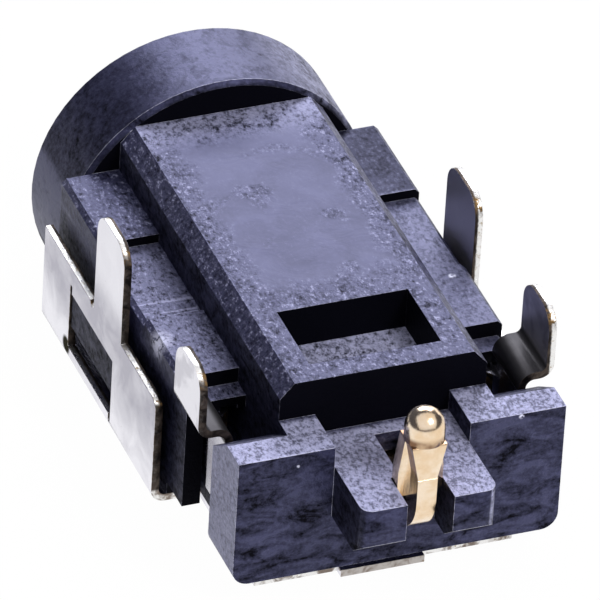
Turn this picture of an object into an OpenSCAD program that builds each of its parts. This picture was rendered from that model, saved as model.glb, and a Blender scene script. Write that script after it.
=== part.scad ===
// Low-profile DC power jack for a 4.0 x 1.35 mm barrel plug, mid-mounted in a board cut-out.
// Frame: origin on the plug axis at the mating face, plug opening towards -Y, board side and
// solder tails towards +Z. Left and right are as seen from the solder-tail end, so left is +X.
// Heights below are measured from the underside of the jack, lengths from the mating face.

/* [Plug socket] */
// Height of the plug axis above the underside
axis_height = 2.6; // [2.5:0.05:2.8]
// Diameter of the bore that takes the plug barrel
bore_d = 4.16; // [3.9:0.02:4.3]
// Depth of the bore from the mating face
bore_depth = 9.8; // [9.2:0.1:10.2]
// Diameter of the shallow guide at the mouth of the bore
mouth_d = 4.6; // [4.4:0.1:5]
// Depth of that guide
mouth_depth = 1.2; // [0.8:0.1:1.4]
// Width of the chamfer round the mouth
mouth_chamfer = 0.25; // [0.1:0.05:0.4]

/* [Nose] */
// Outer radius of the round nose
nose_r = 3.95; // [3.8:0.05:4.1]
// Length of the nose
nose_length = 2.5; // [2.2:0.1:2.8]
// Height of the centre of the nose arc above the underside
nose_centre_height = 2.1; // [2:0.05:2.3]
// Chamfer round the two rims of the nose
nose_chamfer = 0.12; // [0.05:0.01:0.2]

/* [Ridge over the bore] */
// Width of the flat top of the ridge
ridge_top_width = 4.53; // [4.4:0.05:4.7]
// How far each side of the ridge stands out below its bevel
ridge_bevel_out = 0.35; // [0.25:0.05:0.45]
// Height of the bevel along the sides of the ridge
ridge_bevel_height = 0.4; // [0.2:0.05:0.6]
// Height of the ridge
ridge_height = 5.22; // [5.1:0.02:5.4]
// Length from the mating face to the near end of the ridge
ridge_end = 13.5; // [13.3:0.1:13.7]
// Width of the pocket in the top of the ridge
pocket_width = 3.32; // [3:0.05:3.6]
// Length of the pocket
pocket_length = 2.19; // [1.8:0.05:2.4]
// Depth of the pocket
pocket_depth = 1.1; // [0.8:0.05:1.2]
// Wall left between the pocket and the near end of the ridge
pocket_wall = 0.63; // [0.5:0.05:0.8]

/* [Shoulders beside the ridge] */
// Gap between each side of the body and the wall of the shell
side_gap = 0.2; // [0.14:0.02:0.24]
// Height of the front shoulder
front_shoulder_height = 4.04; // [3.95:0.02:4.15]
// Length from the mating face to the end of the front shoulder
front_shoulder_end = 5.32; // [5.1:0.05:5.6]
// Height of the middle shoulder
middle_shoulder_height = 3.79; // [3.7:0.02:3.9]
// Length from the mating face to the end of the middle shoulder
middle_shoulder_end = 8.4; // [8:0.05:8.7]
// Height of the rear shoulder
rear_shoulder_height = 3.92; // [3.8:0.02:4]
// Length from the mating face to the end of the rear shoulder
rear_shoulder_end = 10.85; // [10.7:0.05:11]
// Height of the narrow ledge behind the rear shoulder
ledge_height = 3.5; // [3.4:0.02:3.6]
// Length from the mating face to the end of that ledge
ledge_end = 11.4; // [11.2:0.05:11.45]
// Height of the underside of the body behind the shell
rear_underside = 0.53; // [0.4:0.02:0.7]
// Distance from the plug axis to the outer wall of the recess for each contact
recess_outer = 3.64; // [3.56:0.02:3.7]
// Length from the mating face to the floor of that recess
recess_start = 10.2; // [10.1:0.05:10.3]
// Height of the roof of that recess
recess_top = 3.15; // [3.05:0.05:3.25]
// Bevel along the outer edge of the shoulders
shoulder_bevel = 0.12; // [0.05:0.01:0.2]

/* [Snap bosses] */
// How far the face of a snap boss lies inside the face of the shell
boss_recess = 0.04; // [0.02:0.01:0.1]
// Height of the flat face of a snap boss
boss_height = 0.9; // [0.7:0.05:1]
// Height of the sloping lead-in below it
boss_lead_in = 0.3; // [0.2:0.05:0.4]

/* [Waist between body and back block] */
// Width of the waist that carries the back block
waist_width = 6.6; // [6.4:0.1:6.8]
// Height of the waist beside the ridge
waist_height = 1.3; // [1.1:0.1:1.4]

/* [Back block] */
// Width of the back block
block_width = 8.24; // [8:0.05:8.4]
// Height of the top of the block
block_top_height = 4.21; // [4.15:0.02:4.3]
// Height of the underside of the block
block_underside = 0.66; // [0.5:0.02:0.8]
// Length from the mating face to the outer face of the block
block_end = 14.88; // [14.8:0.02:15]
// Thickness of the block
block_thickness = 1.68; // [1.6:0.02:1.72]
// Length of the bevel on the inner top edge of the block
block_bevel_length = 0.9; // [0.7:0.05:1]
// Height of that bevel
block_bevel_height = 0.6; // [0.4:0.05:0.8]
// Radius of the lower corners of the block
block_corner_r = 0.43; // [0.2:0.01:0.6]
// How far the foot under the block stands back from its outer face
foot_setback = 0.85; // [0.7:0.05:1]

/* [Prongs round the tail] */
// Width over both prongs
prongs_width = 3.4; // [3.2:0.05:3.6]
// Height of the top of the prongs
prong_top_height = 3.66; // [3.6:0.02:3.75]
// Height of the underside of the prongs
prong_underside = 2.22; // [2.1:0.02:2.4]
// Length from the mating face to the tips of the prongs
prong_end = 16.8; // [16.7:0.05:17]
// Length of the bevel under each prong tip
prong_bevel_length = 0.5; // [0.3:0.05:0.6]
// Height of that bevel
prong_bevel_height = 0.42; // [0.3:0.02:0.6]
// Radius of the outer upright edge of each prong tip
prong_corner_r = 0.3; // [0.1:0.05:0.4]
// Width of the slot between the prong tips
slot_width = 1.18; // [1.1:0.02:1.2]
// Width of the narrow inner part of the slot
throat_width = 0.7; // [0.64:0.02:0.8]
// Length from the mating face to the step between the two widths
throat_end = 15.66; // [15.5:0.02:15.72]
// Length from the mating face to the inner end of the slot
slot_start = 13.95; // [13.8:0.05:14.1]

/* [Centre pin] */
// Diameter of the contact pin in the bore
pin_d = 1.3; // [1.2:0.02:1.32]
// Diameter of the thinner root of the pin, held in the wall behind the bore
pin_root_d = 0.9; // [0.86:0.02:0.96]
// How far the tip of the pin lies behind the mating face
pin_setback = 1.5; // [1.45:0.05:2]
// Diameter of the solder tail
tail_d = 0.98; // [0.9:0.02:1.04]
// Length from the mating face to the centre of the tail
tail_position = 16.1; // [16.08:0.01:16.14]
// Height of the top of the tail
tail_height = 5.85; // [5.7:0.05:6]
// Width of the coined blade that joins pin and tail
blade_width = 0.5; // [0.4:0.02:0.52]
// Depth of the blade in the plane of its bend
blade_depth = 0.8; // [0.76:0.02:0.84]
// Length of the narrow passage for the blade between the round hole and the slot
blade_passage = 0.35; // [0.3:0.05:0.4]
// Bend radius of the blade, at its middle
blade_bend_r = 0.8; // [0.7:0.05:0.9]
// Width over the barbs that hold the tail in its slot
barb_width = 1.14; // [1.08:0.02:1.16]
// Height of the lower edge of the barbs
barb_bottom = 3.36; // [3.3:0.02:3.5]
// Height from the lower edge of the barbs to the start of their taper
barb_height = 0.7; // [0.5:0.05:0.8]
// Chamfer at the lower corners of the barbs
barb_lead_in = 0.12; // [0.05:0.01:0.16]
// Height at which the coined rib begins to flare
rib_flare_start = 4.1; // [4:0.05:4.3]
// Thickness of the barbs
barb_thickness = 0.36; // [0.28:0.02:0.4]
// How much narrower the coined rib is than the tail, on each side
rib_inset = 0.05; // [0.04:0.01:0.12]
// Height at which the coined part ends and the round tail begins
tail_round_start = 5.02; // [4.9:0.02:5.1]
// Depth of the flat pressed on the outer face of the tail
tail_flat_depth = 0.1; // [0.06:0.02:0.14]

/* [Metal shell] */
// Width over the shell
shell_width = 9.0; // [8.9:0.05:9.2]
// Thickness of the sheet of the shell and of the contacts
sheet_t = 0.2; // [0.16:0.01:0.24]
// Outer radius of the bends
bend_r = 0.36; // [0.3:0.02:0.44]
// Length from the mating face to the front edge of the shell
shell_start = 2.6; // [2.55:0.05:3]
// Length from the mating face to the rear edge of the side walls
shell_end = 10.4; // [10.2:0.05:10.6]
// Height of the side walls in front of the solder tabs
shell_front_height = 2.82; // [2.7:0.02:2.9]
// Height of the side walls behind the solder tabs
shell_rear_height = 2.96; // [2.9:0.02:3.1]
// Height of the solder tabs of the shell
shell_tab_height = 5.66; // [5.4:0.02:5.9]
// Width of the solder tabs of the shell
shell_tab_width = 1.88; // [1.7:0.02:2]
// Length from the mating face to the front edge of the left tab
left_tab_start = 6.06; // [5.9:0.02:6.3]
// How much further back the right tab stands, so the jack fits its board one way round
tab_offset = 0.42; // [0:0.02:0.5]
// Radius of the top corners of every solder tab
tab_corner_r = 0.6; // [0.3:0.05:0.7]
// Radius of the rear top corner of each side wall
wall_corner_r = 0.3; // [0.2:0.05:0.4]
// Radius of the notch at the front foot of each tab
notch_r = 0.12; // [0.08:0.01:0.16]
// Length of the window in each side wall
window_length = 3.0; // [2.8:0.05:3.1]
// Height of the window
window_height = 1.6; // [1.4:0.05:1.7]
// Length from the mating face to the front of the window
window_start = 4.46; // [4.3:0.02:4.6]
// Height of the lower edge of the window
window_sill = 0.52; // [0.46:0.02:0.6]
// Width of the relief slits at two corners of the window
relief_width = 0.12; // [0.1:0.01:0.16]
// Length of those slits
relief_length = 0.22; // [0.1:0.02:0.26]
// Width of the tongue that reaches back under the block
tongue_width = 6.56; // [6.2:0.05:6.6]
// Length from the mating face to the end of the tongue
tongue_end = 14.2; // [14:0.05:14.4]
// Width of the carrier stub broken off at the end of the tongue
stub_width = 2.13; // [1.8:0.05:2.4]
// Length of the carrier stub
stub_length = 0.26; // [0.15:0.02:0.4]
// Offset of the carrier stub to the left
stub_offset = 0.12; // [0:0.02:0.3]

/* [Ground contacts] */
// Length from the mating face to the front edge of the contact tabs
contact_start = 11.5; // [11.45:0.01:11.56]
// Width of the contact tabs
contact_tab_width = 1.66; // [1.6:0.02:1.68]
// Height of the contact tabs
contact_tab_height = 5.64; // [5.4:0.02:5.9]
// Height of the underside of the contact bridge
bridge_height = 3.8; // [3.7:0.02:3.86]
// How far each contact leg stands in from the outer face of its tab
leg_inset = 0.7; // [0.66:0.02:0.74]
// Outer radius of the bend between the bridge and the leg
leg_bend_r = 0.42; // [0.4:0.02:0.46]
// Height of the lower edge of the leg
leg_bottom = 1.55; // [1.4:0.05:1.8]
// Width of the lower part of the leg, from which the arm is bent
leg_width = 1.06; // [0.9:0.02:1.2]
// Length over which the arm turns outwards to its leg
jog_length = 1.0; // [0.9:0.05:1.1]
// Distance from the plug axis to the outer face of the arm in its channel
arm_offset = 3.14; // [3.1:0.02:3.2]
// Height of the spring arm of each contact
arm_height = 1.1; // [0.9:0.05:1.2]
// How far each spring stands into the bore, before a plug pushes it out
spring_reach = 0.25; // [0.1:0.05:0.35]
// Length from the mating face to the crest of the spring
spring_crest = 4.6; // [4.4:0.1:5]
// Length of the spring from its root to its crest
spring_length = 3.2; // [3:0.1:3.4]
// Length of the curled free end beyond the crest
tip_length = 0.8; // [0.6:0.05:1]
// How far the free end curls away, so that the plug slides past it
tip_curl = 0.25; // [0.15:0.05:0.35]

/* [Fits] */
// Gap all round a spring arm in its channel
arm_clearance = 0.12; // [0.08:0.01:0.16]
// Gap between each snap boss and its window
window_clearance = 0.08; // [0.05:0.01:0.1]
// Gap between the pin and its hole in the back wall, and in front of the barbs
pin_clearance = 0.02; // [0:0.01:0.04]
// Free room beside the springs, in front of each tip and behind each root
spring_room = 0.3; // [0.2:0.05:0.4]

/* [Hidden] */
$fn = 64;
overshoot = 0.5;                // how far a cutting body runs past the face it opens
sink = 0.1;                     // how far a joined body runs into its neighbour
skin = 0.01;                    // overlap of two cuts that meet end to end
half_width = shell_width / 2;
body_width = shell_width - 2 * (sheet_t + side_gap);
floor_top = sheet_t;            // the housing stands on the bottom plate of the shell
waist_start = ledge_end;
block_start = block_end - block_thickness;
ridge_width = ridge_top_width + 2 * ridge_bevel_out;
pocket_end = ridge_end - pocket_wall;
contact_end = contact_start + contact_tab_width;
tail_root = tail_position - blade_bend_r;
barb_start = throat_end + pin_clearance;  // the barbs stand just behind the step in the slot
tail_flat = tail_position + tail_d / 2 - tail_flat_depth;
blade_start = slot_start - blade_passage;
arm_low = axis_height - arm_height / 2;
arm_inner = arm_offset - sheet_t;
spring_root = spring_crest + spring_length;
spring_tip = spring_crest - tip_length;
leg_offset = half_width - leg_inset;
leg_start = contact_end - leg_width;
leg_shoulder = axis_height + arm_height / 2 + sink;
jog_end = leg_start - jog_length;

// Lowers what stands on z = 0 so that the plug axis comes to that height.
module on_plug_axis() {
    translate([0, 0, -axis_height]) children();
}

// A block symmetric about the plug axis in X, from y0 to y1 and from z0 to z1.
module bar(width, y0, y1, z0, z1) {
    translate([-width / 2, y0, z0]) cube([width, y1 - y0, z1 - z0]);
}

// Extrudes an outline drawn in X and Z along Y, from y0 to y1.
module along_y(y0, y1) {
    translate([0, y1, 0]) rotate([90, 0, 0]) linear_extrude(y1 - y0) children();
}

// Extrudes an outline drawn in Y and Z across X, from x0 to x1.
module across_x(x0, x1) {
    translate([x0, 0, 0]) rotate([90, 0, 90]) linear_extrude(x1 - x0) children();
}

// ---- Housing: one moulding in black liquid-crystal polymer ----

// A round disc with both rims chamfered, cut flat along the underside.
module nose() {
    rim = nose_r - nose_chamfer;
    intersection() {
        translate([0, 0, nose_centre_height]) rotate([-90, 0, 0])
            rotate_extrude($fn = 96) polygon([
                [0, 0],
                [rim, 0],
                [nose_r, nose_chamfer],
                [nose_r, nose_length - nose_chamfer],
                [rim, nose_length],
                [0, nose_length]
            ]);
        bar(2 * nose_r, 0, nose_length, 0, nose_centre_height + nose_r);
    }
}

// Section of one length of body: straight sides with a bevelled outer top edge.
module body_section(height) {
    half = body_width / 2;
    polygon([
        [-half, floor_top],
        [half, floor_top],
        [half, height - shoulder_bevel],
        [half - shoulder_bevel, height],
        [-half + shoulder_bevel, height],
        [-half, height - shoulder_bevel]
    ]);
}

module shoulders() {
    along_y(nose_length, front_shoulder_end) body_section(front_shoulder_height);
    along_y(front_shoulder_end, middle_shoulder_end) body_section(middle_shoulder_height);
    along_y(middle_shoulder_end, rear_shoulder_end) body_section(rear_shoulder_height);
    along_y(rear_shoulder_end, ledge_end) body_section(ledge_height);
}

// Section of the ridge, bevelled along both sides.
module ridge_section() {
    half = ridge_width / 2;
    half_top = ridge_top_width / 2;
    polygon([
        [-half, floor_top],
        [half, floor_top],
        [half, ridge_height - ridge_bevel_height],
        [half_top, ridge_height],
        [-half_top, ridge_height],
        [-half, ridge_height - ridge_bevel_height]
    ]);
}

module ridge() {
    along_y(nose_length, ridge_end) ridge_section();
}

module ridge_pocket() {
    bar(pocket_width, pocket_end - pocket_length, pocket_end,
        ridge_height - pocket_depth, ridge_height + overshoot);
}

module waist() {
    bar(waist_width, waist_start, block_end - foot_setback, floor_top, waist_height);
}

// Side view of the back block, bevelled on its inner top edge.
module block_profile() {
    polygon([
        [block_start, block_underside],
        [block_end, block_underside],
        [block_end, block_top_height],
        [block_start + block_bevel_length, block_top_height],
        [block_start, block_top_height - block_bevel_height]
    ]);
}

// Rear view of the back block, with rounded lower corners.
module block_outline() {
    half = block_width / 2;
    straight = block_width - 2 * block_corner_r;
    translate([-half, block_underside + block_corner_r])
        square([block_width, block_top_height - block_underside - block_corner_r]);
    translate([-half + block_corner_r, block_underside]) square([straight, block_corner_r]);
    for (side = [-1, 1])
        translate([side * (half - block_corner_r), block_underside + block_corner_r])
            circle(block_corner_r);
}

module back_block() {
    intersection() {
        across_x(-block_width / 2, block_width / 2) block_profile();
        along_y(block_start, block_end) block_outline();
    }
    // The neck joins the ridge to the block at the height of the block.
    bar(ridge_width, ridge_end - overshoot, block_start + block_bevel_length,
        block_underside, block_top_height);
}

// Plan of both prongs, with rounded tips.
module prong_plan() {
    half = prongs_width / 2;
    translate([-half, ridge_end])
        square([prongs_width, prong_end - prong_corner_r - ridge_end]);
    translate([-half + prong_corner_r, ridge_end])
        square([prongs_width - 2 * prong_corner_r, prong_end - ridge_end]);
    for (side = [-1, 1])
        translate([side * (half - prong_corner_r), prong_end - prong_corner_r])
            circle(prong_corner_r);
}

// Side view of a prong, bevelled under its tip.
module prong_profile() {
    polygon([
        [ridge_end, prong_underside],
        [prong_end - prong_bevel_length, prong_underside],
        [prong_end, prong_underside + prong_bevel_height],
        [prong_end, prong_top_height],
        [ridge_end, prong_top_height]
    ]);
}

module prongs() {
    intersection() {
        across_x(-prongs_width / 2, prongs_width / 2) prong_profile();
        linear_extrude(prong_top_height) prong_plan();
    }
}

module recess_between_blocks() {
    bar(prongs_width, ridge_end, block_end + overshoot, prong_top_height,
        block_top_height + overshoot);
}

module tail_slot() {
    bar(throat_width, slot_start, throat_end + skin, blade_seat(), prong_top_height + overshoot);
    bar(slot_width, throat_end, prong_end + overshoot, 0, prong_top_height + overshoot);
}

// Lowest point of the blade, less the gap under it.
function blade_seat() = axis_height - blade_depth / 2 - arm_clearance;

// Everything that the plug and the pin pass through.
module plug_bore() {
    translate([0, 0, axis_height]) rotate([-90, 0, 0]) {
        translate([0, 0, -overshoot]) cylinder(d = bore_d, h = bore_depth + overshoot);
        translate([0, 0, -overshoot]) cylinder(d = mouth_d, h = mouth_depth + overshoot);
        translate([0, 0, -skin])
            cylinder(d1 = mouth_d + 2 * mouth_chamfer, d2 = mouth_d, h = mouth_chamfer);
        cylinder(d = pin_root_d + 2 * pin_clearance, h = blade_start + skin);
    }
    // Passage for the flat blade, from the round hole to the slot.
    bar(throat_width, blade_start, slot_start + skin, blade_seat(),
        axis_height + blade_depth / 2 + arm_clearance);
}

// Channel in one flank for the arm of a ground contact, open to the bore along the spring.
module contact_channel() {
    y0 = spring_tip - spring_room;
    z0 = arm_low - arm_clearance;
    z1 = arm_low + arm_height + arm_clearance;
    x0 = arm_inner - arm_clearance;
    x1 = arm_offset + arm_clearance;
    translate([x0, y0, z0]) cube([x1 - x0, ledge_end + overshoot - y0, z1 - z0]);
    translate([0, y0, z0]) cube([x0 + skin, spring_root + spring_room - y0, z1 - z0]);
}

// Recess at the rear of one flank, open backwards, for the leg and arm of a contact.
module contact_recess() {
    x0 = ridge_width / 2;
    translate([x0, recess_start, waist_height])
        cube([recess_outer - x0, ledge_end + overshoot - recess_start,
            recess_top - waist_height]);
    translate([waist_width / 2, recess_start, rear_underside - overshoot])
        cube([recess_outer - waist_width / 2, ledge_end + overshoot - recess_start,
            recess_top + overshoot - rear_underside]);
}

// Step under one flank, behind the shell.
module rear_step() {
    translate([waist_width / 2, shell_end, 0])
        cube([half_width, ledge_end + overshoot - shell_end, rear_underside]);
}

// Wedge on one flank that snaps into the window of the shell.
module snap_boss() {
    face = half_width - boss_recess;
    y0 = window_start + window_clearance;
    y1 = window_start + window_length - window_clearance;
    z1 = window_sill + window_height - window_clearance;
    z0 = z1 - boss_height;
    along_y(y0, y1) polygon([
        [body_width / 2 - sink, z0 - boss_lead_in],
        [face, z0],
        [face, z1],
        [body_width / 2 - sink, z1]
    ]);
}

module both_sides() {
    children();
    mirror([1, 0, 0]) children();
}

module housing() {
    color([0.16, 0.16, 0.22]) on_plug_axis() {
        difference() {
            union() {
                nose();
                shoulders();
                ridge();
                waist();
                back_block();
                prongs();
                both_sides() snap_boss();
            }
            recess_between_blocks();
            ridge_pocket();
            tail_slot();
            plug_bore();
            both_sides() {
                contact_channel();
                contact_recess();
                rear_step();
            }
        }
    }
}

// ---- Metal shell: one stamped and folded sheet, nickel plated ----

// Folded section of the shell as a U with rounded bends, wall tops at a given height.
module shell_section(height) {
    difference() {
        union() {
            translate([-half_width, bend_r]) square([shell_width, height - bend_r]);
            translate([-half_width + bend_r, 0]) square([shell_width - 2 * bend_r, bend_r]);
            for (side = [-1, 1])
                translate([side * (half_width - bend_r), bend_r]) circle(bend_r);
        }
        shell_inside(height);
    }
}

module shell_inside(height) {
    inner_r = bend_r - sheet_t;
    inner_half = half_width - sheet_t;
    translate([-inner_half, bend_r]) square([2 * inner_half, height]);
    translate([-inner_half + inner_r, sheet_t]) square([2 * (inner_half - inner_r), height]);
    for (side = [-1, 1])
        translate([side * (inner_half - inner_r), bend_r]) circle(inner_r);
}

// Outline of a solder tab seen from the side, standing on z = 0, with rounded top corners.
module tab_outline(start, width, height) {
    translate([start, 0]) square([width, height - tab_corner_r]);
    translate([start + tab_corner_r, 0]) square([width - 2 * tab_corner_r, height]);
    for (y = [start + tab_corner_r, start + width - tab_corner_r])
        translate([y, height - tab_corner_r]) circle(tab_corner_r);
}

// Side view of a wall of the shell, with its tab, its window and the slits at its corners.
module wall_outline(tab_start) {
    straight_end = shell_end - wall_corner_r;
    straight_top = shell_rear_height - wall_corner_r;
    difference() {
        union() {
            translate([shell_start, 0])
                square([tab_start + sink - shell_start, shell_front_height]);
            translate([tab_start, 0]) square([shell_end - tab_start, straight_top]);
            translate([tab_start, 0]) square([straight_end - tab_start, shell_rear_height]);
            translate([straight_end, straight_top]) circle(wall_corner_r);
            tab_outline(tab_start, shell_tab_width, shell_tab_height);
        }
        translate([tab_start - notch_r, shell_front_height]) circle(notch_r);
        translate([window_start, window_sill]) square([window_length, window_height]);
        translate([window_start, window_sill + window_height - sink])
            square([relief_width, relief_length + sink]);
        translate([window_start + window_length - relief_width, window_sill - relief_length])
            square([relief_width, relief_length + sink]);
    }
}

// One wall: the side view cut from the folded section. Side is 1 for left, -1 for right.
module shell_wall(side, tab_start) {
    x0 = side > 0 ? half_width - bend_r : -half_width - overshoot;
    intersection() {
        along_y(shell_start, shell_end) shell_section(shell_tab_height);
        across_x(x0, x0 + bend_r + overshoot) wall_outline(tab_start);
    }
}

module bottom_plate() {
    width = shell_width - 2 * bend_r;
    bar(width, shell_start, shell_end, 0, sheet_t);
    bar(tongue_width, shell_end - overshoot, tongue_end, 0, sheet_t);
    translate([stub_offset, 0, 0])
        bar(stub_width, tongue_end - overshoot, tongue_end + stub_length, 0, sheet_t);
}

module shield_shell() {
    color([0.86, 0.86, 0.88]) on_plug_axis() {
        bottom_plate();
        shell_wall(1, left_tab_start);
        shell_wall(-1, left_tab_start + tab_offset);
    }
}

// ---- Centre pin: turned, coined and bent brass wire, gold plated ----

// Round pin with a domed tip and a thinner root, lying along the plug axis.
module pin_shaft() {
    radius = pin_d / 2;
    translate([0, 0, axis_height]) rotate([-90, 0, 0]) rotate_extrude() {
        translate([0, pin_setback + radius])
            square([radius, bore_depth - pin_setback - radius]);
        translate([0, bore_depth - sink])
            square([pin_root_d / 2, blade_start - bore_depth + sink]);
        translate([0, pin_setback]) intersection() {
            translate([0, radius]) circle(radius);
            square(radius);
        }
    }
}

// Side view of the coined blade with its bend.
module blade_profile() {
    half = blade_depth / 2;
    centre_z = axis_height + blade_bend_r;
    translate([blade_start - sink, axis_height - half])
        square([tail_root - blade_start + sink, blade_depth]);
    translate([tail_position - half, centre_z])
        square([blade_depth, barb_bottom + barb_height - centre_z]);
    intersection() {
        translate([tail_root, centre_z]) difference() {
            circle(blade_bend_r + half);
            circle(blade_bend_r - half);
        }
        translate([tail_root, axis_height - half])
            square([blade_bend_r + half, blade_bend_r + half]);
    }
}

// Barbs that bite into the walls of the slot, tapering up into the tail.
module barbs() {
    half = barb_width / 2;
    along_y(barb_start, barb_start + barb_thickness) polygon([
        [-half + barb_lead_in, barb_bottom],
        [half - barb_lead_in, barb_bottom],
        [half, barb_bottom + barb_lead_in],
        [half, barb_bottom + barb_height],
        [tail_d / 2 - rib_inset, tail_round_start],
        [-tail_d / 2 + rib_inset, tail_round_start],
        [-half, barb_bottom + barb_height],
        [-half, barb_bottom + barb_lead_in]
    ]);
}

// Coined rib on the outer side of the tail, flaring from the blade into the round.
module rib() {
    half = blade_width / 2;
    half_top = tail_d / 2 - rib_inset;
    along_y(barb_start, tail_flat) polygon([
        [-half, axis_height + blade_bend_r],
        [half, axis_height + blade_bend_r],
        [half, rib_flare_start],
        [half_top, tail_round_start],
        [-half_top, tail_round_start],
        [-half, rib_flare_start]
    ]);
}

// Round end of the tail with its dome.
module tail() {
    radius = tail_d / 2;
    translate([0, tail_position, 0]) {
        translate([0, 0, tail_round_start])
            cylinder(r = radius, h = tail_height - radius - tail_round_start);
        translate([0, 0, tail_height - radius]) sphere(radius);
    }
}

module centre_pin() {
    color([0.93, 0.76, 0.42]) on_plug_axis() {
        pin_shaft();
        across_x(-blade_width / 2, blade_width / 2) blade_profile();
        barbs();
        rib();
        tail();
    }
}

// ---- Ground contacts: stamped springs that press on the plug barrel ----

// A quarter bend of the sheet about a centre, in the quadrant that the signs point to.
module quarter_bend(centre, radius, sign_x, sign_z) {
    translate(centre) scale([sign_x, sign_z]) intersection() {
        difference() {
            circle(radius);
            circle(radius - sheet_t);
        }
        square(radius);
    }
}

// Folded section: down from the tab, inwards along the bridge and down the leg.
module tab_section() {
    outer_bend = [half_width - bend_r, bridge_height + bend_r];
    inner_bend = [leg_offset - sheet_t + leg_bend_r, bridge_height + sheet_t - leg_bend_r];
    translate([half_width - sheet_t, outer_bend[1]])
        square([sheet_t, contact_tab_height - outer_bend[1]]);
    quarter_bend(outer_bend, bend_r, 1, -1);
    translate([inner_bend[0], bridge_height])
        square([outer_bend[0] - inner_bend[0], sheet_t]);
    quarter_bend(inner_bend, leg_bend_r, -1, 1);
    translate([leg_offset - sheet_t, leg_bottom])
        square([sheet_t, inner_bend[1] - leg_bottom]);
}

// The contact seen from the side: full width down to the shoulder, narrower below it.
module contact_outline() {
    intersection() {
        tab_outline(contact_start, contact_tab_width, contact_tab_height);
        union() {
            translate([contact_start, leg_shoulder])
                square([contact_tab_width, contact_tab_height]);
            translate([leg_start, 0]) square([leg_width, contact_tab_height]);
        }
    }
}

// Runs smoothly from 0 to 1 while y goes from y0 to y1.
function ease(y, y0, y1) =
    let (t = min(1, max(0, (y - y0) / (y1 - y0))))
    (1 - cos(180 * t)) / 2;

// Distance of the inner face of the arm from the plug axis at one length.
function arm_line(y) =
    let (
        crest = bore_d / 2 - spring_reach,
        curl = tip_curl * pow(max(0, (spring_crest - y) / tip_length), 2)
    )
    crest + curl
    + (arm_inner - crest) * ease(y, spring_crest, spring_root)
    + (leg_offset - arm_offset) * ease(y, jog_end, leg_start);

// Plan of the arm: from its free end over the crest and along the channel to the leg.
module arm_plan() {
    steps = 72;
    lengths = [for (i = [0:steps]) spring_tip + (contact_end - spring_tip) * i / steps];
    slopes = [for (y = lengths) (arm_line(y + skin) - arm_line(y - skin)) / (2 * skin)];
    inner = [for (y = lengths) [arm_line(y), y]];
    outer = [for (i = [steps:-1:0])
        inner[i] + sheet_t * [1, -slopes[i]] / sqrt(1 + pow(slopes[i], 2))];
    intersection() {
        polygon(concat(inner, outer));
        translate([0, spring_tip]) square([half_width, contact_end - spring_tip]);
    }
}

module ground_contact() {
    on_plug_axis() {
        intersection() {
            along_y(contact_start, contact_end) tab_section();
            across_x(0, shell_width) contact_outline();
        }
        translate([0, 0, arm_low]) linear_extrude(arm_height) arm_plan();
    }
}

module ground_contact_left() {
    color([0.82, 0.82, 0.84]) ground_contact();
}

module ground_contact_right() {
    color([0.82, 0.82, 0.84]) mirror([1, 0, 0]) ground_contact();
}

housing();
shield_shell();
centre_pin();
ground_contact_left();
ground_contact_right();
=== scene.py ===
# A low-profile DC barrel jack, standing on its metal shell with its solder tabs and tail up.
# The origin is on the plug axis at the mating face, -Y is out of the plug opening, +Z is the
# board side and +X is the left side, seen from the end with the tail.
import math

import bmesh
import bpy
from mathutils import Matrix, Vector


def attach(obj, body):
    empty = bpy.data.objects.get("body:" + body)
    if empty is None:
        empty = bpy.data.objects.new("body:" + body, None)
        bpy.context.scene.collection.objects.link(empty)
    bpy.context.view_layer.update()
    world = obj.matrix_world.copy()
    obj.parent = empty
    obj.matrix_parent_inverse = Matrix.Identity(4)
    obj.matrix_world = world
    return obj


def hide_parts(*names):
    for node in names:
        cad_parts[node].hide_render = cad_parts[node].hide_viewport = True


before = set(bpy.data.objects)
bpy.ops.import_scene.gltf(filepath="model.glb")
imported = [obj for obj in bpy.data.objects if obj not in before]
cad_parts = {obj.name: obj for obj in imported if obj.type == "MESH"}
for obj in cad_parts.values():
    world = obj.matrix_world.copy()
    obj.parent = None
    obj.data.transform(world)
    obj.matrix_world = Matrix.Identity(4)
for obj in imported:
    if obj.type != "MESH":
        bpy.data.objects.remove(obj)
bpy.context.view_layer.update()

# ---------------------------------------------------------------------------------------------
# Housing: one moulding in black glass-filled polymer. It comes out of the mould with small
# rounded edges, a fine grain on every face and darker flow marks round its gates.
# ---------------------------------------------------------------------------------------------
MM = 0.001
HOUSING_EDGE = 0.065 * MM

# where the moulding changes, in millimetres from the mating face, the middle or the plug axis
NOSE_END = 2.5
SHOULDER_STEP = 5.3
SHOULDERS_END = 11.5
BLOCK_START = 13.2
RIDGE_END = 13.5
BLOCK_END = 14.88
PRONG_END = 16.8
RIDGE_SIDE = 2.6
RIDGE_TOP = 2.62
BLOCK_TOP_FROM = 0.95
SHOULDER_TOP_FROM = 0.85
FLANK_FROM = 3.75

# the pocket in the ridge, the smooth middle of the ridge and the tool marks beside it
POCKET_START, POCKET_END, POCKET_SIDE = 10.65, 12.875, 1.68
SMOOTH_START, SMOOTH_END, SMOOTH_SIDE = 3.5, 9.85, 1.7
TOOLED_START, TOOLED_END = 7.6, 8.5

# small scrapes: where each is, how far it is full, where it ends and how strong it is
SCRAPES = [((4.10, 9.25, 1.22), 0.05, 0.55, 0.6),
           ((-3.60, 8.80, 1.32), 0.04, 0.12, 1.0),
           ((-2.99, 14.88, 1.54), 0.03, 0.09, 1.0),
           ((2.62, 14.88, 1.26), 0.02, 0.06, 0.7)]


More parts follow.
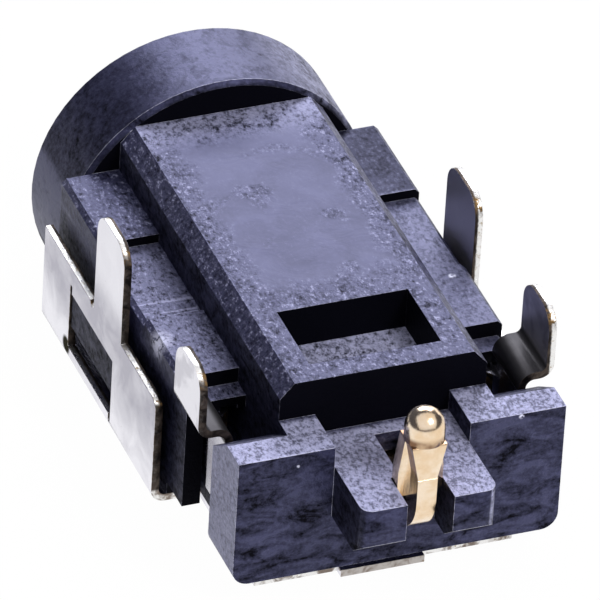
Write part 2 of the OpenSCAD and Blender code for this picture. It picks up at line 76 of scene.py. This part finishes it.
class Wire:
    """One value in a finish; arithmetic on it adds the Math nodes that it stands for."""

    def __init__(self, finish, socket):
        self.finish = finish
        self.socket = socket

    def sum_of(self, operation, first, second=0.0, third=0.0):
        return self.finish.node("ShaderNodeMath", {"operation": operation},
                                {0: first, 1: second, 2: third})

    def __add__(self, other):
        return self.sum_of("ADD", self, other)

    def __radd__(self, other):
        return self.sum_of("ADD", other, self)

    def __sub__(self, other):
        return self.sum_of("SUBTRACT", self, other)

    def __rsub__(self, other):
        return self.sum_of("SUBTRACT", other, self)

    def __mul__(self, other):
        return self.sum_of("MULTIPLY", self, other)

    def __rmul__(self, other):
        return self.sum_of("MULTIPLY", other, self)

    def __abs__(self):
        return self.sum_of("ABSOLUTE", self)

    def larger(self, other):
        return self.sum_of("MAXIMUM", self, other)

    def smaller(self, other):
        return self.sum_of("MINIMUM", self, other)

    def step(self, start, end):
        """0 at start, 1 at end, and smooth between them; it falls where start is larger."""
        return self.finish.node("ShaderNodeMapRange", {"interpolation_type": "SMOOTHSTEP"},
                                {0: self, 1: start, 2: end})

    def past(self, place, soft):
        """1 beyond the place and 0 before it, changing within soft on either side."""
        return self.step(place - soft, place + soft)

    def before(self, place, soft):
        """1 before the place and 0 beyond it, changing within soft on either side."""
        return self.step(place + soft, place - soft)


class Finish:
    """A node tree in the making, for a material or the world; one method makes its nodes."""

    def __init__(self, owner):
        self.owner = owner
        self.owner.use_nodes = True
        self.tree = self.owner.node_tree
        self.tree.nodes.clear()

    def node(self, kind, settings=None, values=None, output=0):
        made = self.tree.nodes.new(kind)
        for key, value in (settings or {}).items():
            setattr(made, key, value)
        for key, value in (values or {}).items():
            if isinstance(value, Wire):
                self.tree.links.new(value.socket, made.inputs[key])
            else:
                made.inputs[key].default_value = value
        return Wire(self, made.outputs[output]) if len(made.outputs) else None

    def place(self, scale=(1.0, 1.0, 1.0), turn=(0.0, 0.0, 0.0)):
        """The point on the piece in millimetres, stretched and turned for a pattern."""
        point = self.node("ShaderNodeTexCoord", output="Object")
        grown = tuple(part / MM for part in scale)
        return self.node("ShaderNodeMapping", None,
                         {"Vector": point, "Rotation": turn, "Scale": grown})

    def noise(self, where, scale, detail=2.0, rough=0.5, twist=0.0):
        """A soft random value about 0.5."""
        return self.node("ShaderNodeTexNoise", {"noise_dimensions": "3D"},
                         {"Vector": where, "Scale": scale, "Detail": detail,
                          "Roughness": rough, "Distortion": twist})

    def blend(self, share, first, second):
        """From the first colour to the second as share goes from 0 to 1."""
        return self.node("ShaderNodeMix", {"data_type": "RGBA"},
                         {0: share, 6: first, 7: second}, output=2)

    def bump(self, height, strength, depth):
        return self.node("ShaderNodeBump", None,
                         {"Height": height, "Strength": strength, "Distance": depth})

    def parts_of(self, vector):
        """The X, Y and Z of a vector."""
        return [self.node("ShaderNodeSeparateXYZ", None, {0: vector}, output=axis)
                for axis in "XYZ"]

    def facing(self):
        """The X, Y and Z of the way the surface faces, each from -1 to 1."""
        return self.parts_of(self.node("ShaderNodeNewGeometry", output="Normal"))

    def spot(self, where, centre, inner, outer):
        """1 within inner of the centre, falling to 0 at outer, in millimetres."""
        reach = self.node("ShaderNodeVectorMath", {"operation": "DISTANCE"},
                          {0: where, 1: centre}, output="Value")
        return reach.step(outer, inner)

    def shader(self, values):
        return self.node("ShaderNodeBsdfPrincipled", None, values)

    def mix(self, share, first, second):
        """From the first shader to the second as share goes from 0 to 1."""
        return self.node("ShaderNodeMixShader", None, {0: share, 1: first, 2: second})

    def finish(self, surface, kind="ShaderNodeOutputMaterial"):
        self.node(kind, None, {"Surface": surface})
        return self.owner


def new_finish(name):
    return Finish(bpy.data.materials.new(name))


def tone(red, green, blue):
    return (red, green, blue, 1.0)


# the skin, the pale flecks that also carry painted light, the scrapes that also carry painted
# edge highlights, and the colour of the shaded copy, which is painted shade
SKIN = tone(0.028, 0.029, 0.064)
FLECK_AND_PAINTED_LIGHT = tone(0.46, 0.47, 0.68)
SCRAPE_AND_HIGHLIGHT = tone(0.80, 0.81, 0.98)
SHADED = tone(0.002, 0.002, 0.004)


def moulded_black(name, worn):
    """Dull black skin with a paler sheen through it, mixed from a lit copy and a shaded copy by
    the way each face looks, which is painted light and shade; worn is 1 for the rounded edges.
    """
    made = new_finish(name)
    here = made.place()
    x, y, z = made.parts_of(here)
    face_x, face_y, face_z = made.facing()

    # patterns about 0: soft clouds, middling patches, fine grain, dust and flow marks
    cloud = made.noise(here, 0.9, 3.0, 0.55, 0.6) - 0.5
    mid = made.noise(here, 2.6, 4.0, 0.62, 0.7) - 0.5
    grain = made.noise(here, 7.5, 4.0, 0.75) - 0.5
    dust = made.noise(made.place((1.0, 0.5, 1.0), (0.0, 0.0, 0.6)), 12.0, 3.0, 0.75) - 0.5
    swirl = made.noise(made.place((0.9, 1.0, 2.0), (0.0, 0.5, 0.0)), 0.95, 4.0, 0.6, 1.3) - 0.5
    speckle = (grain + dust) * 3.0 + 0.06

    # the kinds of face: tops, faces towards the near end, the left flank and the slopes
    nose = 1.0 - y.past(NOSE_END, 0.1)
    level = face_z.step(0.72, 0.95)
    end_on = face_y.step(0.6, 0.9)
    flank = (face_x.step(0.6, 0.9) * x.past(FLANK_FROM, 0.05)
             * (nose + y.past(BLOCK_START - 0.2, 0.1) + z.past(0.55, 0.35) * 0.6).smaller(1.0))
    slope = face_z.step(0.3, 0.6) * (1.0 - level) * (1.0 - nose * 0.8)

    # the middle of the ridge is smoother than the rest, with a few rough patches in it
    drift = cloud * 1.3
    ridge_top = z.past(RIDGE_TOP - 0.07, 0.05)
    smooth = ((1.0 - (abs(x) + drift).past(SMOOTH_SIDE, 0.25))
              * (y + drift).past(SMOOTH_START, 0.4)
              * (1.0 - (y + drift).past(SMOOTH_END, 0.35)) * ridge_top)
    patches = made.noise(here, 0.75, 2.0, 0.5).step(0.57, 0.70)
    # the right shoulder is smoother than the left, and darker at its front
    right_side = x.before(-RIDGE_SIDE, 0.1) * y.before(SHOULDERS_END, 0.1) * (1.0 - nose)
    right_front = right_side * y.before(SHOULDER_STEP, 0.1)
    coarse = ((1.0 - smooth * 0.95).larger(patches * 0.7) * (1.0 - nose * 0.7)
              * (1.0 - right_side * 0.40 - right_front * 0.35))

    # painted shade on the walls of the pocket and painted light on its floor
    sunk = (abs(x).before(POCKET_SIDE, 0.02) * y.past(POCKET_START, 0.05)
            * y.before(POCKET_END, 0.025) * z.before(RIDGE_TOP - 0.02, 0.02))
    # painted shade: faces that look towards the near end but lie behind it are kept dark
    painted_end_shade = end_on * y.before(RIDGE_END + 0.1, 0.05)
    # painted light: a paler base on the tops of the block and prongs, the pocket floor, the
    # ridge by the nose and the shoulders, where the lamps leave them dim
    near_tops = y.past(RIDGE_END + 0.1, 0.1) * z.past(BLOCK_TOP_FROM, 0.05)
    by_nose = y.step(NOSE_END + 1.5, NOSE_END + 0.1) * ridge_top * (1.0 - nose)
    shoulders = (abs(x).past(RIDGE_SIDE + 0.05, 0.05) * y.past(SHOULDER_STEP, 0.1)
                 * y.before(SHOULDERS_END, 0.1) * z.past(SHOULDER_TOP_FROM, 0.05))
    painted_light_on_tops = (near_tops * 1.22 + sunk * 1.3 + by_nose * 0.9 + shoulders * 0.28) * level

    # tool marks across the left shoulder and scrapes are rubbed places; the near edge of each
    # top (most of all on the left) and the round upright corner of the right prong get a painted
    # highlight
    combed = made.noise(made.place((0.35, 7.5, 1.0)), 1.0, 2.0, 0.5).step(0.47, 0.56)
    tooled = (x.past(RIDGE_SIDE, 0.1) * y.past(TOOLED_START, 0.1) * y.before(TOOLED_END, 0.1)
              * level * combed)
    block_lip = y.past(BLOCK_END - 0.09, 0.05) * y.before(BLOCK_END + 0.05, 0.01)
    prong_lip = y.past(PRONG_END - 0.12, 0.06)
    painted_lip_highlight = near_tops * level * (block_lip + prong_lip) * (0.55 + x.past(0.0, 1.0) * 0.45)
    corner = (face_y.step(0.3, 0.5) * face_x.step(-0.30, -0.45)
              * y.past(PRONG_END - 0.35, 0.05) * x.before(-0.25, 0.25))
    scrapes = 0.0
    for centre, inner, outer, strength in SCRAPES:
        scrapes = (made.spot(here, centre, inner, outer) * strength).larger(scrapes)
    scrapes = scrapes * grain.step(-0.10, 0.02)

    # painted light and shade: how much of the lit copy shows over the shaded copy, set apart for
    # tops, near-facing ends and sides, with clouds, grain and scrapes in it; 0 is the dull skin
    # alone
    sheen_top = (0.86 + cloud * 0.9 + (mid * 1.9 + speckle) * coarse + mid * nose * 0.9
                 - right_front * 0.52).larger(near_tops * 0.50)
    sheen_end = 0.60 + swirl * 3.0 + grain * 1.5
    sheen_side = (0.30 + nose * 0.06 + slope * 0.60 + flank * 0.65 + swirl * 1.2 + grain * 1.4
                  + speckle * slope * 0.6)
    sheen = (sheen_top * level + sheen_end * end_on + sheen_side * (1.0 - level) * (1.0 - end_on)
             + worn * 0.3 + scrapes)
    # painted shade: the pocket walls and the hidden end faces lose the lit copy
    sheen = sheen * (1.0 - (sunk * (1.0 - level)).larger(painted_end_shade))

    # bright flecks, tool marks and scrapes are paler than the skin; the other pale places below
    # are painted light and highlight
    flecks = (speckle.step(0.2, 1.1) * coarse * (level * 0.7 + slope * 0.9 + 0.05)
              * (1.0 - nose * 0.75))
    # painted rim light: the right side of the nose is paler
    rim = nose * face_x.step(-0.30, -0.75) * 0.7
    # painted light on the tops, painted reflection of the table on the block's left flank, and
    # painted highlights on the lips and the right prong's corner; the tool marks are real
    marks_and_painted_light = ((painted_light_on_tops * (0.50 + speckle * 0.35))
            .larger(flank * y.past(BLOCK_START - 0.1, 0.1) * (0.34 + (grain + dust) * 0.9))
            .larger(rim).larger(tooled * 0.62).larger(corner * 0.8)
            .larger(painted_lip_highlight * (0.75 + speckle * 0.5)))
    # the rounded edges are paler where they face the near end: partly wear, partly painted
    # highlight
    edge_wear_and_highlight = face_y.step(0.15, 0.5) * (0.35 + grain.step(-0.14, 0.02) * 0.65) * worn
    pale = made.blend(flecks.larger(marks_and_painted_light).smaller(1.0), SKIN, FLECK_AND_PAINTED_LIGHT)
    pale = made.blend(edge_wear_and_highlight.larger(scrapes), pale, SCRAPE_AND_HIGHLIGHT)

    rough = (0.42 + grain * 0.4 * coarse + cloud * 0.15) * (1.0 - worn * 0.45)
    relief = made.bump((grain + dust * 0.6) * coarse + cloud * 0.5 + swirl * 0.8, 0.5, 0.04 * MM)
    # painted light and shade: bright is the lit copy and dull the shaded copy of the same black
    # skin
    bright = made.shader({"Base Color": pale, "Roughness": rough, "IOR": 1.75,
                          "Specular Tint": tone(0.50, 0.52, 1.0), "Normal": relief})
    dull = made.shader({"Base Color": SHADED, "Roughness": 0.6, "IOR": 1.12,
                        "Specular Tint": tone(0.7, 0.7, 1.0), "Normal": relief})
    return made.finish(made.mix(sheen.larger(0.0).smaller(1.0), dull, bright))


WELD_REACH = 0.0005 * MM
FLAT_ANGLE = math.radians(0.4)


def dressed_copy(node, name, edge, finishes, segments=2, angle=28.0, edge_slot=0):
    """The CAD node's own shape with every corner over the angle rounded, as a tool leaves it."""
    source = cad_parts[node]
    shape = bmesh.new()
    shape.from_mesh(source.data)
    bmesh.ops.remove_doubles(shape, verts=shape.verts, dist=WELD_REACH)
    bmesh.ops.dissolve_limit(shape, angle_limit=FLAT_ANGLE, verts=shape.verts,
                             edges=shape.edges)
    for face in shape.faces:
        face.smooth = True
    mesh = bpy.data.meshes.new(name)
    shape.to_mesh(mesh)
    shape.free()
    for finish in finishes:
        mesh.materials.append(finish)
    piece = bpy.data.objects.new(name, mesh)
    bpy.context.scene.collection.objects.link(piece)
    bevel = piece.modifiers.new("edges", "BEVEL")
    bevel.width = edge
    bevel.segments = segments
    bevel.limit_method = "ANGLE"
    bevel.angle_limit = math.radians(angle)
    bevel.use_clamp_overlap = True
    bevel.harden_normals = True
    bevel.miter_outer = "MITER_ARC"
    bevel.material = edge_slot
    flatten = piece.modifiers.new("flat faces", "WEIGHTED_NORMAL")
    flatten.keep_sharp = True
    settled = bpy.data.meshes.new_from_object(
        piece.evaluated_get(bpy.context.evaluated_depsgraph_get()))
    piece.modifiers.clear()
    piece.data = settled
    return piece


housing = dressed_copy("housing", "housing_moulding", HOUSING_EDGE,
                       [moulded_black("moulded_black", 0.0), moulded_black("moulded_edge", 1.0)],
                       edge_slot=1)
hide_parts("housing")
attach(housing, "root")

# ---------------------------------------------------------------------------------------------
# Metal shell: bright nickel over a stamped and folded sheet. Its faces are smooth, its cut
# edges keep a burnished band and a rougher broken band.
# ---------------------------------------------------------------------------------------------
SHEET_EDGE = 0.035 * MM
SHEET_EDGE_SEGMENTS = 3

# places in millimetres: the outer faces of the two walls are 4.5 from the middle
CONTACTS_START = 11.45
FOLD_OUTER = 4.40
FOLD_BOTTOM, FOLD_TOP = 0.95, 1.6
INNER_FACE = 4.15
BURNT = (4.50, 4.35, -2.12)
WALL_FOOT = -2.25
STUB_START = 14.23
SHEET_MIDDLE = 4.38

NICKEL = tone(0.84, 0.83, 0.89)
NICKEL_DARKER = tone(0.38, 0.37, 0.44)
# the colour of the painted shade in the folds
NICKEL_PAINTED_SHADE = tone(0.030, 0.028, 0.030)
SOOT = tone(0.030, 0.026, 0.010)


def nickel_face(name):
    """The rolled faces of the sheet, a little clouded and stained."""
    made = new_finish(name)
    here = made.place()
    x, y, z = made.parts_of(here)
    face_x = made.facing()[0]
    streak = made.noise(made.place((0.5, 0.5, 6.0)), 3.0, 3.0, 0.6)
    mottle = made.noise(here, 0.9, 3.0, 0.55, 0.5)
    speck = made.noise(here, 13.0, 3.0, 0.6).step(0.66, 0.78)

    # the walls are darker towards the shoulders, and the tabs stay clear
    shade = (z.step(-2.5, 0.2) * 0.95 + (mottle - 0.5) * 1.6).larger(0.0).smaller(1.0)
    shade = shade * (1.0 - z.step(0.3, 1.6) * 0.8)
    # the tabs of the ground contacts are darker in places
    shade = shade.larger(y.past(CONTACTS_START - 0.05, 0.1) * mottle.step(0.40, 0.60) * 0.6)
    colour = made.blend(shade, NICKEL, NICKEL_DARKER)
    # painted shade: the fold of each ground contact is made dull and dark
    painted_fold_shade = (y.past(CONTACTS_START, 0.05) * abs(x).before(FOLD_OUTER, 0.04)
              * z.past(FOLD_BOTTOM, 0.05) * z.before(FOLD_TOP, 0.1))
    colour = made.blend((speck * 0.3).larger(painted_fold_shade * 0.95), colour, NICKEL_PAINTED_SHADE)
    inner = face_x.step(0.5, 0.7) * x.before(-INNER_FACE, 0.05)
    rough = 0.16 + streak * 0.12 + speck * 0.15 + inner * 0.2 + painted_fold_shade * 0.25
    relief = made.bump(mottle * 0.8 + streak * 0.2, 0.25, 0.02 * MM)
    plate = made.shader({"Base Color": colour, "Metallic": 1.0, "Roughness": rough,
                         "Normal": relief})
    # a small burnt mark at the lower front corner of the left window
    soot = made.shader({"Base Color": SOOT, "Roughness": 0.7, "IOR": 1.12, "Normal": relief})
    return made.finish(made.mix(made.spot(here, BURNT, 0.17, 0.29), plate, soot))


BURNISHED = tone(0.88, 0.87, 0.86)
BURNISHED_STAIN = tone(0.45, 0.36, 0.24)
FOOT_STAIN = tone(0.26, 0.21, 0.18)
BROKEN_DARK = tone(0.018, 0.015, 0.014)
BROKEN_BROWN = tone(0.12, 0.095, 0.08)
CORNER_STAIN = tone(0.16, 0.10, 0.045)


def cut_edge(name):
    """A sheared edge: burnished towards the outer face, torn and dull towards the inner."""
    made = new_finish(name)
    here = made.place()
    x, y, z = made.parts_of(here)
    face_y = made.facing()[1]
    chips = made.noise(here, 7.0, 4.0, 0.7)
    blots = made.noise(here, 2.4, 3.0, 0.6, 0.8)
    upright = z.past(WALL_FOOT, 0.05)
    stub = y.past(STUB_START, 0.01)
    across = (abs(x) + (chips - 0.5) * 0.08).past(SHEET_MIDDLE, 0.02)
    # painted dark reflection: on the left side the faces towards the near end are given the dark
    # torn colour all across
    painted_dark_reflection = face_y.step(0.6, 0.9) * x.past(-0.5, 0.5) * (0.75 + chips * 0.5)
    bright = (across * (1.0 - painted_dark_reflection) * upright).larger(
        (1.0 - upright) * (blots.step(0.36, 0.56) * (1.0 - stub * 0.6)))
    torn = made.blend(upright, FOOT_STAIN,
                      made.blend(blots.step(0.35, 0.65), BROKEN_DARK, BROKEN_BROWN))
    sheared = made.blend(chips.step(0.56, 0.70), BURNISHED, BURNISHED_STAIN)
    colour = made.blend(bright, torn, sheared)
    # the round corners of the tabs are rubbed and stained
    corner = face_y.step(0.45, 0.60) * face_y.step(0.98, 0.88) * upright
    colour = made.blend(corner * chips.step(0.46, 0.56), colour, CORNER_STAIN)
    rough = 0.22 + (chips - 0.3) * 0.5 + (1.0 - bright) * 0.2
    return made.finish(made.shader({"Base Color": colour, "Metallic": 1.0, "Roughness": rough,
                                    "Normal": made.bump(chips, 0.7, 0.03 * MM)}))


CUT_FROM, CUT_ABOVE = 4.28, -2.2
CUT_FACING = 0.6


def mark_cut_edges(piece):
    """Gives slot 1 to the faces that lie across the sheet."""
    for face in piece.data.polygons:
        centre = face.center / MM
        normal = face.normal
        on_wall = abs(centre.x) > CUT_FROM and centre.z > CUT_ABOVE
        if (on_wall and abs(normal.x) < CUT_FACING) or abs(normal.y) > CUT_FACING:
            face.material_index = 1


sheet_finishes = [nickel_face("nickel_face"), cut_edge("nickel_cut_edge")]
shell = dressed_copy("shield_shell", "shell_sheet", SHEET_EDGE, sheet_finishes,
                     SHEET_EDGE_SEGMENTS)
mark_cut_edges(shell)
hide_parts("shield_shell")
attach(shell, "root")

# ---------------------------------------------------------------------------------------------
# Centre pin: brass wire, turned, coined, bent and plated with gold. The crease where the flat
# blade meets the round end is darkened with painted shade.
# ---------------------------------------------------------------------------------------------
PIN_EDGE = 0.03 * MM
PIN_EDGE_ANGLE = 35.0
CREASE_BOTTOM, CREASE_TOP = 2.39, 2.60

GOLD_WORN = tone(0.84, 0.62, 0.40)
GOLD = tone(0.94, 0.79, 0.62)
GOLD_PAINTED_SHADE = tone(0.14, 0.05, 0.015)


def gold_plate():
    made = new_finish("gold_plate_finish")
    here = made.place()
    z = made.parts_of(here)[2]
    streak = made.noise(made.place((5.0, 5.0, 0.6)), 2.5, 3.0, 0.6)
    cloud = made.noise(here, 1.6, 3.0, 0.6)
    colour = made.blend(cloud.step(0.3, 0.7), GOLD_WORN, GOLD)
    # painted shade: the crease under the round end is darkened
    painted_crease_shade = (z.past(CREASE_BOTTOM, 0.05) * z.before(CREASE_TOP, 0.08)
              * (0.4 + cloud.step(0.30, 0.50) * 0.6))
    colour = made.blend(painted_crease_shade * 0.9, colour, GOLD_PAINTED_SHADE)
    return made.finish(made.shader({"Base Color": colour, "Metallic": 1.0,
                                    "Roughness": 0.15 + streak * 0.12,
                                    "Normal": made.bump(streak, 0.2, 0.015 * MM)}))


pin = dressed_copy("centre_pin", "gold_pin", PIN_EDGE, [gold_plate()], angle=PIN_EDGE_ANGLE)
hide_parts("centre_pin")
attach(pin, "root")

# ---------------------------------------------------------------------------------------------
# Ground contacts: two mirrored springs of the same plated sheet as the shell. Each sits in its
# own channel in the housing, and its tab stands up behind the shell's.
# ---------------------------------------------------------------------------------------------
for side in ("left", "right"):
    contact = dressed_copy("ground_contact_" + side, "contact_spring_" + side, SHEET_EDGE,
                           sheet_finishes, SHEET_EDGE_SEGMENTS)
    mark_cut_edges(contact)
    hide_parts("ground_contact_" + side)
    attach(contact, "root")

# ---------------------------------------------------------------------------------------------
# Studio: a white table, soft lamps round the jack and a camera that looks down on its near
# end from a distance, so that it sees almost no perspective.
# ---------------------------------------------------------------------------------------------
TABLE = -2.6 * MM
TABLE_REACH = 400 * MM
WHITE = tone(1.0, 1.0, 1.0)
PAPER = tone(0.93, 0.93, 0.93)
AIR = tone(0.07, 0.07, 0.085)
GLOW_SHARE = 0.985


def white_table():
    """Paper that the camera and mirrors see as white, with a little of the jack's shadow."""
    made = new_finish("white_table")
    seen = made.node("ShaderNodeLightPath", output="Is Camera Ray")
    mirrored = made.node("ShaderNodeLightPath", output="Is Glossy Ray")
    through = made.node("ShaderNodeLightPath", output="Is Transmission Ray")
    paper = made.node("ShaderNodeBsdfDiffuse", None, {"Color": PAPER})
    glow = made.node("ShaderNodeEmission", None, {"Color": WHITE, "Strength": 1.0})
    share = (seen + mirrored + through).smaller(1.0) * GLOW_SHARE
    return made.finish(made.mix(share, paper, glow))


table_mesh = bpy.data.meshes.new("table")
table_mesh.from_pydata([(-TABLE_REACH, -TABLE_REACH, TABLE), (TABLE_REACH, -TABLE_REACH, TABLE),
                        (TABLE_REACH, TABLE_REACH, TABLE), (-TABLE_REACH, TABLE_REACH, TABLE)],
                       [], [(0, 1, 2, 3)])
table = bpy.data.objects.new("table", table_mesh)
bpy.context.scene.collection.objects.link(table)
table.data.materials.append(white_table())

CENTRE = Vector((-0.032, 8.0, 0.786)) * MM
VIEW_TURN = math.radians(22.659)
VIEW_RISE = math.radians(35.472)
VIEW_ROLL = math.radians(3.568)
VIEW_DISTANCE = 273.096 * MM
SENSOR_WIDTH = 36.0
LONG_LENS = 684.2
towards = Vector((math.sin(VIEW_TURN) * math.cos(VIEW_RISE),
                  math.cos(VIEW_TURN) * math.cos(VIEW_RISE), math.sin(VIEW_RISE)))
level_right = Vector((-math.cos(VIEW_TURN), math.sin(VIEW_TURN), 0.0))
level_up = towards.cross(level_right)
right = math.cos(VIEW_ROLL) * level_right + math.sin(VIEW_ROLL) * level_up
upward = towards.cross(right)
camera_data = bpy.data.cameras.new("camera")
camera_data.sensor_width = SENSOR_WIDTH
camera_data.lens = LONG_LENS
camera_data.clip_start = 0.01
camera_data.clip_end = 5.0
camera = bpy.data.objects.new("camera", camera_data)
bpy.context.scene.collection.objects.link(camera)
camera.matrix_world = Matrix.Translation(CENTRE + towards * VIEW_DISTANCE) @ Matrix(
    (right, upward, towards)).transposed().to_4x4()
bpy.context.scene.camera = camera


def soft_lamp(name, direction, distance, width, height, radiance, colour):
    """A rectangular lamp that faces the jack: lengths in millimetres, brightness as radiance."""
    data = bpy.data.lights.new(name, "AREA")
    data.shape = "RECTANGLE"
    data.size = width * MM
    data.size_y = height * MM
    data.energy = radiance * math.pi * width * MM * height * MM
    data.color = colour
    lamp = bpy.data.objects.new(name, data)
    way = Vector(direction).normalized()
    lamp.location = CENTRE + way * distance * MM
    lamp.rotation_euler = way.to_track_quat("Z", "Y").to_euler()
    bpy.context.scene.collection.objects.link(lamp)


WARM = (1.0, 0.99, 0.98)
soft_lamp("back_lamp", (-0.33, -0.75, 0.60), 80, 66, 46, 5.8, (0.94, 0.95, 1.0))
soft_lamp("rim_lamp", (-0.80, -0.62, 0.20), 90, 60, 34, 1.4, (0.96, 0.96, 1.0))
soft_lamp("top_lamp", (0.05, 0.50, 0.86), 330, 900, 760, 0.8, WARM)
soft_lamp("spark_lamp", (-0.31, 0.58, 0.75), 200, 50, 50, 22.0, WARM)

bpy.context.scene.world = bpy.data.worlds.new("studio_air")
air = Finish(bpy.context.scene.world)
backdrop = air.blend(air.node("ShaderNodeLightPath", output="Is Camera Ray"), AIR, WHITE)
air.finish(air.node("ShaderNodeBackground", None, {"Color": backdrop}),
           "ShaderNodeOutputWorld")

bpy.context.scene.view_settings.view_transform = "Standard"
